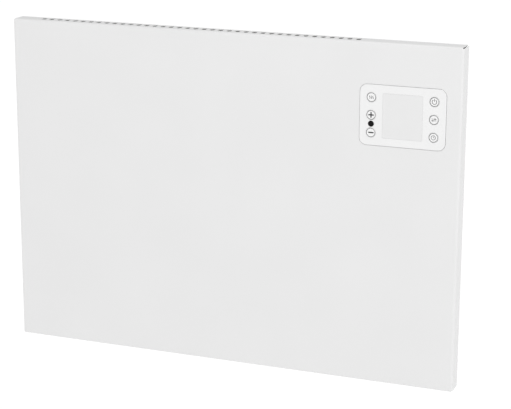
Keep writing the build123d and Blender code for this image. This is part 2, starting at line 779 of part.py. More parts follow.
with BuildPart() as control_gasket:
    with BuildSketch(facing(flange_front, control_x, control_z)):
        RectangleRounded(flange_width, flange_height, flange_corner)
        RectangleRounded(
            flange_width - 2 * gasket_width,
            flange_height - 2 * gasket_width,
            flange_corner - gasket_width,
            mode=Mode.SUBTRACT,
        )
    extrude(amount=gasket_thick)
control_gasket.part.label = "control_gasket"
export_step(control_gasket.part, "parts/control_gasket.step")

with BuildPart() as control_housing:
    with BuildSketch(facing(housing_back, control_x, control_z)):
        RectangleRounded(flange_width, flange_height, flange_corner)
    extrude(amount=housing_depth)
    with BuildSketch(facing(housing_back + housing_wall, control_x, control_z)):
        RectangleRounded(
            flange_width - 2 * housing_wall,
            flange_height - 2 * housing_wall,
            flange_corner - housing_wall,
        )
    extrude(amount=housing_depth - housing_wall, mode=Mode.SUBTRACT)
    # four posts press the board against the fascia's bosses
    with BuildSketch(facing(housing_back, control_x, control_z)):
        with Locations(*control_posts):
            Circle(boss_diameter / 2)
    extrude(amount=board_back - housing_back)
    cut_screw_holes(facing(housing_back, control_x, control_z), control_posts, board_back - housing_back)
    with BuildSketch(facing(housing_back, chamber_x, control_z)):
        Rectangle(ribbon_slot_width, ribbon_slot_height)
    extrude(amount=housing_wall, mode=Mode.SUBTRACT)
control_housing.part.label = "control_housing"
export_step(control_housing.part, "parts/control_housing.step")

with BuildPart() as control_screws:
    add_pan_head_screws(
        Plane(origin=(control_x, -housing_back, control_z), x_dir=(1, 0, 0), z_dir=(0, 1, 0)),
        control_posts,
        board_front + pilot_depth - screw_play - housing_back,
    )
control_screws.part.label = "control_screws"
export_step(control_screws.part, "parts/control_screws.step")

# ================================================================ heating element
with BuildPart() as heating_fins:
    with BuildSketch(upright(hot_middle + element_length / 2, element_out, element_z)):
        for lean in (-1, 1):
            with BuildLine() as arm:
                Line((-lean * fin_reach_out, -fin_reach_up), (lean * fin_reach_out, fin_reach_up))
            trace(arm.line, line_width=fin_thick)
        Circle(fin_tube / 2)
        Circle(rod_diameter / 2 + rod_play, mode=Mode.SUBTRACT)
    extrude(amount=element_length)
    # notches across the fins let the rising air mix
    with BuildSketch(facing(element_out, hot_middle, element_z)):
        with GridLocations(element_length / (fin_notch_count + 1), 1, fin_notch_count, 1):
            Rectangle(fin_notch, 4 * fin_reach_up)
            Rectangle(2 * fin_notch, fin_tube + 2 * fin_thick, mode=Mode.SUBTRACT)
    extrude(amount=4 * fin_reach_out, both=True, mode=Mode.SUBTRACT)
heating_fins.part.label = "heating_fins"
export_step(heating_fins.part, "parts/heating_fins.step")

with BuildPart() as heating_rod:
    with BuildSketch(upright(hot_middle + element_length / 2 + rod_end, element_out, element_z)):
        Circle(rod_diameter / 2)
    extrude(amount=element_length + 2 * rod_end)
    with BuildSketch(upright(hot_middle + pin_reach + rod_pin_length / 2, element_out, element_z)):
        Circle(rod_pin_diameter / 2)
    extrude(amount=2 * pin_reach + rod_pin_length)
heating_rod.part.label = "heating_rod"
export_step(heating_rod.part, "parts/heating_rod.step")

with BuildPart() as element_stands:
    for place in (-1, 1):
        inner = hot_middle + place * (element_length / 2 + stand_gap)
        right_face = inner + (stand_sheet if place > 0 else 0)
        with BuildSketch(upright(right_face, cover_floor, element_z)):
            Rectangle(stand_front - cover_floor, stand_height, align=(Align.MIN, Align.CENTER))
            with Locations((element_out - cover_floor, 0)):
                Circle(bush_diameter / 2 + bush_play, mode=Mode.SUBTRACT)
        extrude(amount=stand_sheet)
        # a foot along the cover's floor, turned inwards under the element
        with BuildSketch(facing(cover_floor, inner, element_z)):
            inward = Align.MAX if place > 0 else Align.MIN
            Rectangle(stand_foot, stand_height, align=(inward, Align.CENTER))
        extrude(amount=stand_sheet)
element_stands.part.label = "element_stands"
export_step(element_stands.part, "parts/element_stands.step")

with BuildPart() as element_bushes:
    for place in (-1, 1):
        inner = hot_middle + place * (element_length / 2 + stand_gap)
        bush_right = inner if place > 0 else inner + bush_flange_thick
        with BuildSketch(upright(bush_right, element_out, element_z)):
            Circle(bush_flange / 2)
            Circle(rod_diameter / 2 + rod_play, mode=Mode.SUBTRACT)
        extrude(amount=bush_flange_thick)
        with BuildSketch(upright(inner + (stand_sheet if place > 0 else 0), element_out, element_z)):
            Circle(bush_diameter / 2)
            Circle(rod_diameter / 2 + rod_play, mode=Mode.SUBTRACT)
        extrude(amount=stand_sheet)
element_bushes.part.label = "element_bushes"
export_step(element_bushes.part, "parts/element_bushes.step")

# ================================================================ heat shield, cut-out and partition
with BuildPart() as shield_standoffs:
    with BuildSketch(facing(cover_floor, hot_middle, shield_z)):
        with Locations(*shield_screws):
            Circle(standoff_diameter / 2)
            Circle(screw_shank / 2 + screw_play, mode=Mode.SUBTRACT)
    extrude(amount=shield_standoff)
shield_standoffs.part.label = "shield_standoffs"
export_step(shield_standoffs.part, "parts/shield_standoffs.step")

with BuildPart() as heat_shield:
    with BuildSketch(upright(hot_middle + shield_width / 2, shield_back, shield_z)):
        Rectangle(shield_sheet, shield_height, align=(Align.MIN, Align.CENTER))
        with Locations((shield_sheet, shield_height / 2)):
            Rectangle(shield_lip + shield_sheet, shield_sheet, align=(Align.MAX, Align.MAX))
        with Locations((shield_sheet, -shield_height / 2)):
            Rectangle(shield_lip + shield_sheet, shield_sheet, align=(Align.MAX, Align.MIN))
    extrude(amount=shield_width)
    cut_screw_holes(facing(shield_back, hot_middle, shield_z), shield_screws, shield_sheet)
heat_shield.part.label = "heat_shield"
export_step(heat_shield.part, "parts/heat_shield.step")

with BuildPart() as thermal_cutout:
    with BuildSketch(facing(shield_front, hot_middle, cutout_z)):
        SlotOverall(cutout_flange, cutout_flange_width)
        Circle(cutout_can / 2)
    extrude(amount=cutout_flange_thick)
    with BuildSketch(facing(shield_front, hot_middle, cutout_z)):
        Circle(cutout_can / 2)
    extrude(amount=cutout_can_height)
    with BuildSketch(facing(shield_front + cutout_can_height, hot_middle, cutout_z)):
        with GridLocations(2 * cutout_tab_x, 1, 2, 1):
            Rectangle(cutout_tab_thick, cutout_tab)
    extrude(amount=cutout_tab_length)
thermal_cutout.part.label = "thermal_cutout"
export_step(thermal_cutout.part, "parts/thermal_cutout.step")

with BuildPart() as partition_wall:
    with BuildSketch(upright(partition_x + partition_sheet, cover_floor)):
        with Locations((0, pan_bottom + partition_short)):
            Rectangle(
                panel_inside - partition_front_gap - cover_floor,
                control_z - flange_height / 2 - partition_under_control - pan_bottom - partition_short,
                align=(Align.MIN, Align.MIN),
            )
            Rectangle(
                panel_back - cover_floor,
                pan_top - pan_bottom - 2 * partition_short,
                align=(Align.MIN, Align.MIN),
            )
        with Locations((lead_out - cover_floor, lead_z)):
            Circle(grommet_hole / 2, mode=Mode.SUBTRACT)
    extrude(amount=partition_sheet)
    with BuildSketch(facing(cover_floor, partition_x, pan_bottom + partition_short)):
        Rectangle(partition_foot, pan_top - pan_bottom - 2 * partition_short, align=(Align.MIN, Align.MIN))
    extrude(amount=partition_sheet)
partition_wall.part.label = "partition_wall"
export_step(partition_wall.part, "parts/partition_wall.step")

with BuildPart() as partition_grommet:
    with BuildSketch(upright(grommet_right, lead_out, lead_z)):
        Circle(grommet_hole / 2 + grommet_flange)
    extrude(amount=grommet_length)
    # the groove that takes the sheet's edge
    with BuildSketch(upright(partition_x + partition_sheet, lead_out, lead_z)):
        Circle(grommet_hole / 2 + 2 * grommet_flange)
        Circle(grommet_hole / 2 - screw_play, mode=Mode.SUBTRACT)
    extrude(amount=partition_sheet, mode=Mode.SUBTRACT)
    with BuildSketch(upright(grommet_right, lead_out, lead_z)):
        Circle(grommet_hole / 2 - grommet_flange)
    extrude(amount=grommet_length, mode=Mode.SUBTRACT)
partition_grommet.part.label = "partition_grommet"
export_step(partition_grommet.part, "parts/partition_grommet.step")

# ================================================================ electronics chamber
with BuildPart() as power_standoffs:
    with BuildSketch(facing(cover_floor, chamber_x, power_z)):
        with Locations(*power_screws):
            Circle(power_standoff_diameter / 2)
            Circle(screw_shank / 2 + screw_play, mode=Mode.SUBTRACT)
    extrude(amount=power_standoff)
power_standoffs.part.label = "power_standoffs"
export_step(power_standoffs.part, "parts/power_standoffs.step")

with BuildPart() as power_board:
    with BuildSketch(facing(power_back, chamber_x, power_z)):
        RectangleRounded(power_width, power_height, board_corner)
    extrude(amount=board_thick)
    cut_screw_holes(facing(power_back, chamber_x, power_z), power_screws, board_thick)
power_board.part.label = "power_board"
export_step(power_board.part, "parts/power_board.step")

with BuildPart() as inner_screws:
    # the feet, the heat shield and the power board are held by the same screw
    for seat, places in (
        (facing(cover_floor, 0, spacer_z), [(-spacer_x, 0), (spacer_x, 0)]),
        (facing(shield_front, hot_middle, shield_z), shield_screws),
        (facing(power_front, chamber_x, power_z), power_screws),
    ):
        add_pan_head_screws(seat, places, sheet_screw_length)
inner_screws.part.label = "inner_screws"
export_step(inner_screws.part, "parts/inner_screws.step")

with BuildPart() as power_relays:
    with BuildSketch(facing(power_front, relay_x, relay_z)):
        with Locations((0, 0), (0, -relay_spacing)):
            Rectangle(relay_width, relay_height)
    extrude(amount=relay_depth)
power_relays.part.label = "power_relays"
export_step(power_relays.part, "parts/power_relays.step")

with BuildPart() as power_transformer:
    with BuildSketch(facing(power_front, coil_x, coil_z)):
        Rectangle(coil_width, coil_height)
    extrude(amount=coil_foot)
    with BuildSketch(facing(power_front, coil_x, coil_z)):
        Rectangle(coil_width - 2 * coil_foot, coil_height)
    extrude(amount=coil_depth)
    with BuildSketch(facing(power_front, coil_x, coil_z)):
        RectangleRounded(coil_width, coil_height / 2, coil_foot)
    extrude(amount=coil_depth - coil_foot)
power_transformer.part.label = "power_transformer"
export_step(power_transformer.part, "parts/power_transformer.step")

with BuildPart() as film_capacitor:
    with BuildSketch(facing(power_front, coil_x, film_z)):
        Rectangle(film_width, film_height)
    extrude(amount=film_depth)
film_capacitor.part.label = "film_capacitor"
export_step(film_capacitor.part, "parts/film_capacitor.step")

with BuildPart() as board_terminals:
    with BuildSketch(facing(power_front, strip_x, strip_z)):
        Rectangle(strip_width, strip_height)
    extrude(amount=strip_depth)
    with BuildSketch(facing(power_front + strip_depth, strip_x, strip_z)):
        with GridLocations(strip_width / strip_poles, 1, strip_poles, 1):
            Circle(strip_well)
    extrude(amount=-strip_well_depth, mode=Mode.SUBTRACT)
board_terminals.part.label = "board_terminals"
export_step(board_terminals.part, "parts/board_terminals.step")

with BuildPart() as ribbon_socket:
    with BuildSketch(facing(power_front, chamber_x, socket_z)):
        Rectangle(socket_width, socket_height)
    extrude(amount=socket_depth)
ribbon_socket.part.label = "ribbon_socket"
export_step(ribbon_socket.part, "parts/ribbon_socket.step")

with BuildPart() as mains_terminals:
    with BuildSketch(facing(cover_floor, mains_x, mains_z)):
        Rectangle(mains_width, mains_height)
    extrude(amount=mains_depth)
    with BuildSketch(facing(cover_floor + mains_depth, mains_x, mains_z)):
        with GridLocations(mains_pitch, mains_rows, mains_poles, 2):
            Circle(mains_well)
    extrude(amount=-mains_well_depth, mode=Mode.SUBTRACT)
mains_terminals.part.label = "mains_terminals"
export_step(mains_terminals.part, "parts/mains_terminals.step")

with BuildPart() as earth_stud:
    with BuildSketch(facing(cover_floor, stud_x, stud_z)):
        Circle(stud_diameter / 2)
    extrude(amount=stud_length)
    with BuildSketch(facing(cover_floor, stud_x, stud_z)):
        RegularPolygon(stud_nut_across / 2, 6, major_radius=False)
    extrude(amount=stud_nut_height)
earth_stud.part.label = "earth_stud"
export_step(earth_stud.part, "parts/earth_stud.step")

with BuildPart() as display_ribbon:
    # from the back of the control board, out through the housing's floor and down to its socket
    ribbon_bend = (housing_back - power_front - socket_depth) / 2
    with BuildSketch(upright(chamber_x + ribbon_width / 2)):
        with BuildLine() as ribbon_path:
            FilletPolyline(
                (board_back, control_z),
                (power_front + socket_depth + ribbon_bend, control_z),
                (power_front + socket_depth + ribbon_bend, socket_z),
                (power_front + socket_depth, socket_z),
                radius=[ribbon_bend / 2, ribbon_bend / 2],
            )
        trace(ribbon_path.line, line_width=ribbon_thick)
    extrude(amount=ribbon_width)
display_ribbon.part.label = "display_ribbon"
export_step(display_ribbon.part, "parts/display_ribbon.step")

# ================================================================ rocker switch
with BuildPart() as rocker_frame:
    with BuildSketch(upright(rocker_face, rocker_out, rocker_z)):
        RectangleRounded(rocker_bezel_width, rocker_bezel_length, rocker_bezel_thick / 2)
    extrude(amount=rocker_bezel_thick)
    with BuildSketch(upright(box_right, rocker_out, rocker_z)):
        Rectangle(rocker_body_width, rocker_body_length)
    extrude(amount=rocker_body_depth)
    with BuildSketch(upright(rocker_face, rocker_out, rocker_z)):
        Rectangle(rocker_opening_width, rocker_opening_length)
    extrude(amount=rocker_pivot_depth + rocker_radius + rocker_floor_gap, mode=Mode.SUBTRACT)
    with BuildSketch(facing(rocker_out, rocker_pivot_x, rocker_z)):
        Circle(rocker_pin / 2 + rocker_pin_play)
    extrude(amount=rocker_width / 2 + rocker_pin_length + rocker_end_play, both=True, mode=Mode.SUBTRACT)
rocker_frame.part.label = "rocker_frame"
export_step(rocker_frame.part, "parts/rocker_frame.step")

with BuildPart() as rocker:
    # drawn with its upper end out, as it rests when the heater is off
    leaning = Plane(
        origin=(rocker_pivot_x, -rocker_out - rocker_width / 2, rocker_z),
        x_dir=Vector(1, 0, 0).rotate(Axis.Y, rocker_tilt),
        z_dir=(0, -1, 0),
    )
    with BuildSketch(leaning):
        Circle(rocker_radius)
        with Locations((rocker_crown, 0)):
            for lean, side in ((-rocker_tilt, Align.MIN), (rocker_tilt, Align.MAX)):
                Rectangle(
                    rocker_radius,
                    3 * rocker_radius,
                    rotation=lean,
                    align=(Align.MIN, side),
                    mode=Mode.SUBTRACT,
                )
    extrude(amount=-rocker_width)
    with BuildSketch(facing(rocker_out, rocker_pivot_x, rocker_z)):
        Circle(rocker_pin / 2)
    extrude(amount=rocker_width / 2 + rocker_pin_length, both=True)
rocker.part.label = "rocker"
export_step(rocker.part, "parts/rocker.step")

with BuildPart() as rocker_tabs:
    with BuildSketch(upright(box_right - rocker_body_depth, rocker_out, rocker_z)):
        with GridLocations(1, rocker_tab_pitch, 1, 2):
            Rectangle(rocker_tab_width, rocker_tab_thick)
    extrude(amount=rocker_tab_length)
rocker_tabs.part.label = "rocker_tabs"
export_step(rocker_tabs.part, "parts/rocker_tabs.step")

# ================================================================ cord inlet and room sensor
with BuildPart() as cord_gland:
    with BuildSketch(lying(box_bottom - gland_flange_height, chamber_x, gland_out)):
        Circle(gland_flange / 2)
    extrude(amount=gland_flange_height)
    fillet(cord_gland.faces().sort_by(Axis.Z)[0].edges(), gland_edge)
    with BuildSketch(lying(box_bottom, chamber_x, gland_out)):
        Circle(gland_thread / 2)
    extrude(amount=cover_sheet + gland_inside)
    with BuildSketch(lying(box_bottom - gland_flange_height, chamber_x, gland_out)):
        Circle(gland_bore / 2)
    extrude(amount=gland_flange_height + cover_sheet + gland_inside, mode=Mode.SUBTRACT)
cord_gland.part.label = "cord_gland"
export_step(cord_gland.part, "parts/cord_gland.step")

with BuildPart() as gland_nut:
    with BuildSketch(lying(pan_bottom, chamber_x, gland_out)):
        RegularPolygon(gland_nut_across / 2, 6, major_radius=False)
        Circle(gland_thread / 2 + gland_play, mode=Mode.SUBTRACT)
    extrude(amount=gland_nut_height)
gland_nut.part.label = "gland_nut"
export_step(gland_nut.part, "parts/gland_nut.step")

with BuildPart() as room_sensor:
    with BuildSketch(lying(box_bottom - sensor_proud, sensor_x, gland_out)):
        Circle(sensor_diameter / 2)
    extrude(amount=sensor_length)
    fillet(room_sensor.faces().sort_by(Axis.Z)[0].edges(), sensor_tip)
room_sensor.part.label = "room_sensor"
export_step(room_sensor.part, "parts/room_sensor.step")

with BuildPart() as sensor_clip:
    with BuildSketch(lying(pan_bottom, sensor_x, gland_out)):
        RectangleRounded(sensor_block, sensor_block, sensor_block_corner)
        Circle(sensor_diameter / 2 + screw_play, mode=Mode.SUBTRACT)
    extrude(amount=sensor_block_height)
sensor_clip.part.label = "sensor_clip"
export_step(sensor_clip.part, "parts/sensor_clip.step")

# ================================================================ leads
with BuildPart() as lead_clips:
    for place in range(clip_count):
        clip_x = hot_middle + clip_spacing * (place - (clip_count - 1) / 2)
        with BuildSketch(upright(clip_x + clip_width / 2, 0, lead_z)):
            with Locations((shield_front, 0)):
                Rectangle(clip_wall, clip_width, align=(Align.MIN, Align.CENTER))
                Rectangle(back_lead_out - shield_front, clip_wall, align=(Align.MIN, Align.CENTER))
            with Locations((back_lead_out, 0)):
                Circle(wire_diameter / 2 + clip_play + clip_wall)
                Circle(wire_diameter / 2 + clip_play, mode=Mode.SUBTRACT)
        extrude(amount=clip_width)
lead_clips.part.label = "lead_clips"
export_step(lead_clips.part, "parts/lead_clips.step")

with BuildPart() as element_leads:
    # the cut-out's right tab to the rod's right pin
    add_wire(
        (hot_middle + cutout_tab_x, front_lead_out, cutout_z + cutout_tab / 2),
        (hot_middle + cutout_tab_x, front_lead_out, cutout_z + lead_over_cutout),
        (hot_middle + pin_reach, element_out, cutout_z + lead_over_cutout),
        (hot_middle + pin_reach, element_out, element_z + rod_pin_diameter / 2),
    )
    # the cut-out's left tab, over the first lead and through the partition to the board
    add_wire(
        (hot_middle - cutout_tab_x, front_lead_out, cutout_z + cutout_tab / 2),
        (hot_middle - cutout_tab_x, front_lead_out, cutout_z + lead_over_cutout + 2 * lead_spacing),
        (side_lead_x, front_lead_out, cutout_z + lead_over_cutout + 2 * lead_spacing),
        (side_lead_x, front_lead_out, lead_z),
        (strip_wire_x[0], front_lead_out, lead_z),
        (strip_wire_x[0], front_lead_out, strip_bottom),
    )
    # the rod's left pin, along the bottom, through the partition to the board
    add_wire(
        (hot_middle - pin_reach, element_out, element_z - rod_pin_diameter / 2),
        (hot_middle - pin_reach, element_out, lead_z),
        (hot_middle - pin_reach, back_lead_out, lead_z),
        (strip_wire_x[1], back_lead_out, lead_z),
        (strip_wire_x[1], back_lead_out, strip_bottom),
    )
element_leads.part.label = "element_leads"
export_step(element_leads.part, "parts/element_leads.step")

with BuildPart() as mains_wires:
    mains_top = mains_z + mains_height / 2
    # neutral, straight to the board
    add_wire(
        (mains_x, mains_wire_out, mains_top),
        (mains_x, mains_wire_out, mains_top + 2 * wire_rise),
        (strip_wire_x[2], strip_wire_out, mains_top + 2 * wire_rise),
        (strip_wire_x[2], strip_wire_out, strip_bottom),
    )
    # live, to the rocker's upper tab
    add_wire(
        (mains_x + mains_pitch, mains_wire_out, mains_top),
        (mains_x + mains_pitch, mains_wire_out, mains_top + wire_rise),
        (rocker_wire_x, rocker_out, mains_top + wire_rise),
        (rocker_wire_x, rocker_out, rocker_z + rocker_tab_reach),
    )
    # switched live, from the lower tab to the board
    add_wire(
        (rocker_wire_x, rocker_out, rocker_z - rocker_tab_reach),
        (rocker_wire_x, rocker_out, rocker_z - rocker_tab_reach - rocker_wire_drop),
        (strip_wire_x[3], strip_wire_out, rocker_z - rocker_tab_reach - rocker_wire_drop),
        (strip_wire_x[3], strip_wire_out, strip_bottom),
    )
    # earth
    add_wire(
        (stud_x, mains_wire_out, mains_z - mains_height / 2),
        (stud_x, mains_wire_out, stud_z + stud_diameter / 2),
    )
mains_wires.part.label = "mains_wires"
export_step(mains_wires.part, "parts/mains_wires.step")
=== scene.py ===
import math

import bmesh
import bpy
from mathutils import Matrix, Vector


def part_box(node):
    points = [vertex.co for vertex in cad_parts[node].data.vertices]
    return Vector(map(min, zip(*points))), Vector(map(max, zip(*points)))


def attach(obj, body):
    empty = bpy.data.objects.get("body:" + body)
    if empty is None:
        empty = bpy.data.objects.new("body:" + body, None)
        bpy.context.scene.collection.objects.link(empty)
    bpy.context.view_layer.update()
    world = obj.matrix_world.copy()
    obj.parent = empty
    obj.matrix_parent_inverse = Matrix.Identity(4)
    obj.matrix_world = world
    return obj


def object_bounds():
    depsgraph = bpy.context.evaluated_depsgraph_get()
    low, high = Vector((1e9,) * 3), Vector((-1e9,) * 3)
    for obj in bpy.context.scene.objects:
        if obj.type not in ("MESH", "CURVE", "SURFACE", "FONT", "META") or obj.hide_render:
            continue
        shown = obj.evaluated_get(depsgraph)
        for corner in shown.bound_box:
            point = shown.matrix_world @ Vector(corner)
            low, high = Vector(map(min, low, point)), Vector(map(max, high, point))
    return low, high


# Wall panel convector heater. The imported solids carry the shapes; this script gives them their
# finishes, adds the printed marks, and sets the light and the camera.

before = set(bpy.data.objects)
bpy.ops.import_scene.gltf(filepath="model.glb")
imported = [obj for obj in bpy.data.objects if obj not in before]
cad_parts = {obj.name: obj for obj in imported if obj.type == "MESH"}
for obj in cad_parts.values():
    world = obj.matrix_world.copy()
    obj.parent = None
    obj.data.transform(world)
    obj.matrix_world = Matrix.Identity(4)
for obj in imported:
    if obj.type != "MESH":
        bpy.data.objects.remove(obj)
cad_box = [list(corner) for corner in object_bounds()]

MM = 0.001
WAVE_PERIOD = math.pi / 10  # of a wave texture at scale 1
KEYS = ("mode", "plus", "minus", "power", "set", "timer")

# the heater's own sizes, as in the part's source
sheet = 0.8 * MM  # of the front panel and the rear cover
cover_inset = 20.0 * MM  # cover's walls from the panel's outline
rocker_pivot_depth = 4.0 * MM  # from the bezel's face
rocker_crown = 3.2 * MM  # from the pivot to the crease between the rocker's two faces
rocker_tilt = math.radians(12)  # each way

# printed marks, in millimetres
ink_sunk = 0.01
ink_proud = 0.03
bold = 1.6
ring_steps = 96
cap_steps = 8


# ---------------------------------------------------------------- tools
def srgb(code):
    """A colour as sRGB hex, in the linear values that a shader takes."""
    channels = [int(code[i:i + 2], 16) / 255 for i in (0, 2, 4)]
    linear = [c / 12.92 if c <= 0.04045 else ((c + 0.055) / 1.055) ** 2.4 for c in channels]
    return (*linear, 1.0)


def add_node(tree, kind, settings, sources=None, feeds=None):
    """Adds one node: its settings, the outputs that it reads, and the inputs that it feeds.
    A setting is named by its socket, its socket's number or its property."""
    node = tree.nodes.new("ShaderNode" + kind)
    for name, value in settings.items():
        if isinstance(name, int) or name in node.inputs:
            node.inputs[name].default_value = value
        else:
            setattr(node, name, value)
    for name, source in (sources or {}).items():
        tree.links.new(source, node.inputs[name])
    for name, target in (feeds or {}).items():
        tree.links.new(node.outputs[name], target)
    return node


def start_finish(name, roughness, **shader_values):
    """A material with its shader, and coordinates in metres on the object for its patterns."""
    finish = bpy.data.materials.new(name)
    finish.use_nodes = True
    tree = finish.node_tree
    shader = tree.nodes["Principled BSDF"]
    shader.inputs["Roughness"].default_value = roughness
    for socket, value in shader_values.items():
        shader.inputs[socket.replace("_", " ")].default_value = value
    place = add_node(tree, "TexCoord", {}).outputs["Object"]
    return finish, tree, shader, place


def inside_of(low, high):
    """The inside of a folded box of sheet, from its outside: just past the inner faces."""
    past = 0.01 * MM
    skin = Vector((1, 1, 1)) * (sheet - past)
    return low + skin, high - skin


# ---------------------------------------------------------------- finishes
def powder_coated_steel(name, light, dark, inside):
    """Steel sheet under baked polyester powder: an even satin white with a faint orange peel.
    Inside the given box the colour is a dark grey: painted shade that makes the slots read dark,
    given as the electro-coat where the powder hardly reaches."""
    finish, tree, shader, place = start_finish(name, 0.42, IOR=1.5)
    # the white drifts with the powder's thickness, over about 90 mm
    cloud = add_node(tree, "TexNoise", {"Scale": 1 / (90 * MM), "Detail": 1.0}, {"Vector": place})
    powder = add_node(tree, "MixRGB", {"Color1": srgb(light), "Color2": srgb(dark)},
                      {"Fac": cloud.outputs["Fac"]})
    # how far a point is past the inside's walls, below zero within them
    inside_low, inside_high = inside
    off_middle = add_node(tree, "VectorMath",
                          {"operation": "SUBTRACT", 1: (inside_low + inside_high) / 2}, {0: place})
    mirrored = add_node(tree, "VectorMath", {"operation": "ABSOLUTE"},
                        {0: off_middle.outputs["Vector"]})
    past_walls = add_node(tree, "VectorMath",
                          {"operation": "SUBTRACT", 1: (inside_high - inside_low) / 2},
                          {0: mirrored.outputs["Vector"]})
    axes = add_node(tree, "SeparateXYZ", {}, {"Vector": past_walls.outputs["Vector"]})
    furthest = axes.outputs["X"]
    for axis in "YZ":
        furthest = add_node(tree, "Math", {"operation": "MAXIMUM"},
                            {0: furthest, 1: axes.outputs[axis]}).outputs["Value"]
    painted_shade_mask = add_node(tree, "Math", {"operation": "LESS_THAN", 1: 0.0}, {0: furthest})
    # painted shade: inside the box the white turns dark grey, so that the slots read dark
    add_node(tree, "MixRGB", {"Color2": srgb("3C3E40")},
             {"Fac": painted_shade_mask.outputs["Value"], "Color1": powder.outputs["Color"]},
             {"Color": shader.inputs["Base Color"]})
    # orange peel is about 1.5 mm across
    peel = add_node(tree, "TexNoise", {"Scale": 1 / (1.5 * MM), "Detail": 2.0}, {"Vector": place})
    add_node(tree, "Bump", {"Strength": 0.12, "Distance": 0.03 * MM},
             {"Height": peel.outputs["Fac"]}, {"Normal": shader.inputs["Normal"]})
    return finish


def zinc_plated_steel(name):
    """Bright zinc over cold-rolled steel: pale metal with a bluish and a straw cast in patches."""
    finish, tree, shader, place = start_finish(name, 0.34, Metallic=1.0)
    cast = add_node(tree, "TexNoise", {"Scale": 1 / (14 * MM), "Detail": 3.0}, {"Vector": place})
    add_node(tree, "MixRGB", {"Color1": srgb("C9CDD2"), "Color2": srgb("C8C3B4")},
             {"Fac": cast.outputs["Fac"]}, {"Color": shader.inputs["Base Color"]})
    # the mill's fine grain is 0.4 mm wide here, coarser than real, so that it shows
    grain = add_node(tree, "Mapping", {"Scale": (0.08, 1.0, 1.0)}, {"Vector": place})
    rolled = add_node(tree, "TexNoise", {"Scale": 1 / (0.4 * MM)},
                      {"Vector": grain.outputs["Vector"]})
    add_node(tree, "Bump", {"Strength": 0.15, "Distance": 0.02 * MM},
             {"Height": rolled.outputs["Fac"]}, {"Normal": shader.inputs["Normal"]})
    return finish


def galvanised_sheet(name):
    """Hot-dip galvanised sheet: crystals about 6 mm across, each catching the light its own way."""
    finish, tree, shader, place = start_finish(name, 0.4, Metallic=1.0)
    spangle = add_node(tree, "TexVoronoi", {"Scale": 1 / (6 * MM)}, {"Vector": place})
    tone = add_node(tree, "SeparateColor", {}, {"Color": spangle.outputs["Color"]})
    add_node(tree, "MixRGB", {"Color1": srgb("AEB3B7"), "Color2": srgb("D3D6D8")},
             {"Fac": tone.outputs["Red"]}, {"Color": shader.inputs["Base Color"]})
    add_node(tree, "MapRange", {"To Min": 0.3, "To Max": 0.5},
             {"Value": tone.outputs["Green"]}, {"Result": shader.inputs["Roughness"]})
    return finish


def moulded_plastic(name, light, dark, roughness, texture=0.3, relief=0.02):
    """Injection-moulded plastic: even colour, and the fine spark-eroded texture of its mould."""
    finish, tree, shader, place = start_finish(name, roughness, IOR=1.53)
    # the colour drifts along the flow of the melt, over about 25 mm
    flow = add_node(tree, "TexNoise", {"Scale": 1 / (25 * MM), "Detail": 1.0}, {"Vector": place})
    add_node(tree, "MixRGB", {"Color1": srgb(light), "Color2": srgb(dark)},
             {"Fac": flow.outputs["Fac"]}, {"Color": shader.inputs["Base Color"]})
    # the texture is given in millimetres, coarser than the real spark marks, so that it shows
    spark = add_node(tree, "TexNoise", {"Scale": 1 / (texture * MM)}, {"Vector": place})
    add_node(tree, "Bump", {"Strength": 0.2, "Distance": relief * MM},
             {"Height": spark.outputs["Fac"]}, {"Normal": shader.inputs["Normal"]})
    return finish


def polished_acrylic(name, light, dark):
    """Cast acrylic with a pale tint, polished: a flat, deep gloss over a greyer body."""
    finish, tree, shader, place = start_finish(name, 0.12, IOR=1.49)
    haze = add_node(tree, "TexNoise", {"Scale": 1 / (30 * MM)}, {"Vector": place})
    add_node(tree, "MixRGB", {"Color1": srgb(light), "Color2": srgb(dark)},
             {"Fac": haze.outputs["Fac"]}, {"Color": shader.inputs["Base Color"]})
    return finish


def infrared_polycarbonate(name):
    """Dyed polycarbonate that only passes infrared: near black with a plum cast, and a gloss
    that is kept low, because the photograph shows next to no light on it."""
    finish, tree, shader, place = start_finish(name, 0.15, IOR=1.58, Specular_IOR_Level=0.12)
    dye = add_node(tree, "TexNoise", {"Scale": 1 / (2 * MM)}, {"Vector": place})
    add_node(tree, "MixRGB", {"Color1": srgb("060505"), "Color2": srgb("0C090A")},
             {"Fac": dye.outputs["Fac"]}, {"Color": shader.inputs["Base Color"]})
    return finish


def black_rubber(name, pore, relief):
    """Vulcanised or foamed rubber: matt and nearly black, with pores of the given width."""
    finish, tree, shader, place = start_finish(name, 0.85, IOR=1.52)
    cells = add_node(tree, "TexVoronoi", {"Scale": 1 / (pore * MM)}, {"Vector": place})
    add_node(tree, "MixRGB", {"Color1": srgb("161616"), "Color2": srgb("2B2A29")},
             {"Fac": cells.outputs["Distance"]}, {"Color": shader.inputs["Base Color"]})
    add_node(tree, "Bump", {"Strength": 0.5, "Distance": relief * MM},
             {"Height": cells.outputs["Distance"]}, {"Normal": shader.inputs["Normal"]})
    return finish


def etched_board(name):
    """Glass-epoxy board: solder mask over copper tracks 1.2 mm apart, which stand out paler."""
    finish, tree, shader, place = start_finish(name, 0.3, IOR=1.55)
    flat = add_node(tree, "Mapping", {"Rotation": (math.pi / 2, 0.0, 0.0)}, {"Vector": place})
    tracks = add_node(tree, "TexBrick",
                      {"Scale": 1.0, "Brick Width": 9 * MM, "Row Height": 1.2 * MM,
                       "Mortar Size": 0.25 * MM, "Color1": srgb("1E5B36"),
                       "Color2": srgb("24673E"), "Mortar": srgb("164428")},
                      {"Vector": flat.outputs["Vector"]}, {"Color": shader.inputs["Base Color"]})
    add_node(tree, "Bump", {"Strength": 0.4, "Distance": 0.04 * MM, "invert": True},
             {"Height": tracks.outputs["Fac"]}, {"Normal": shader.inputs["Normal"]})
    return finish


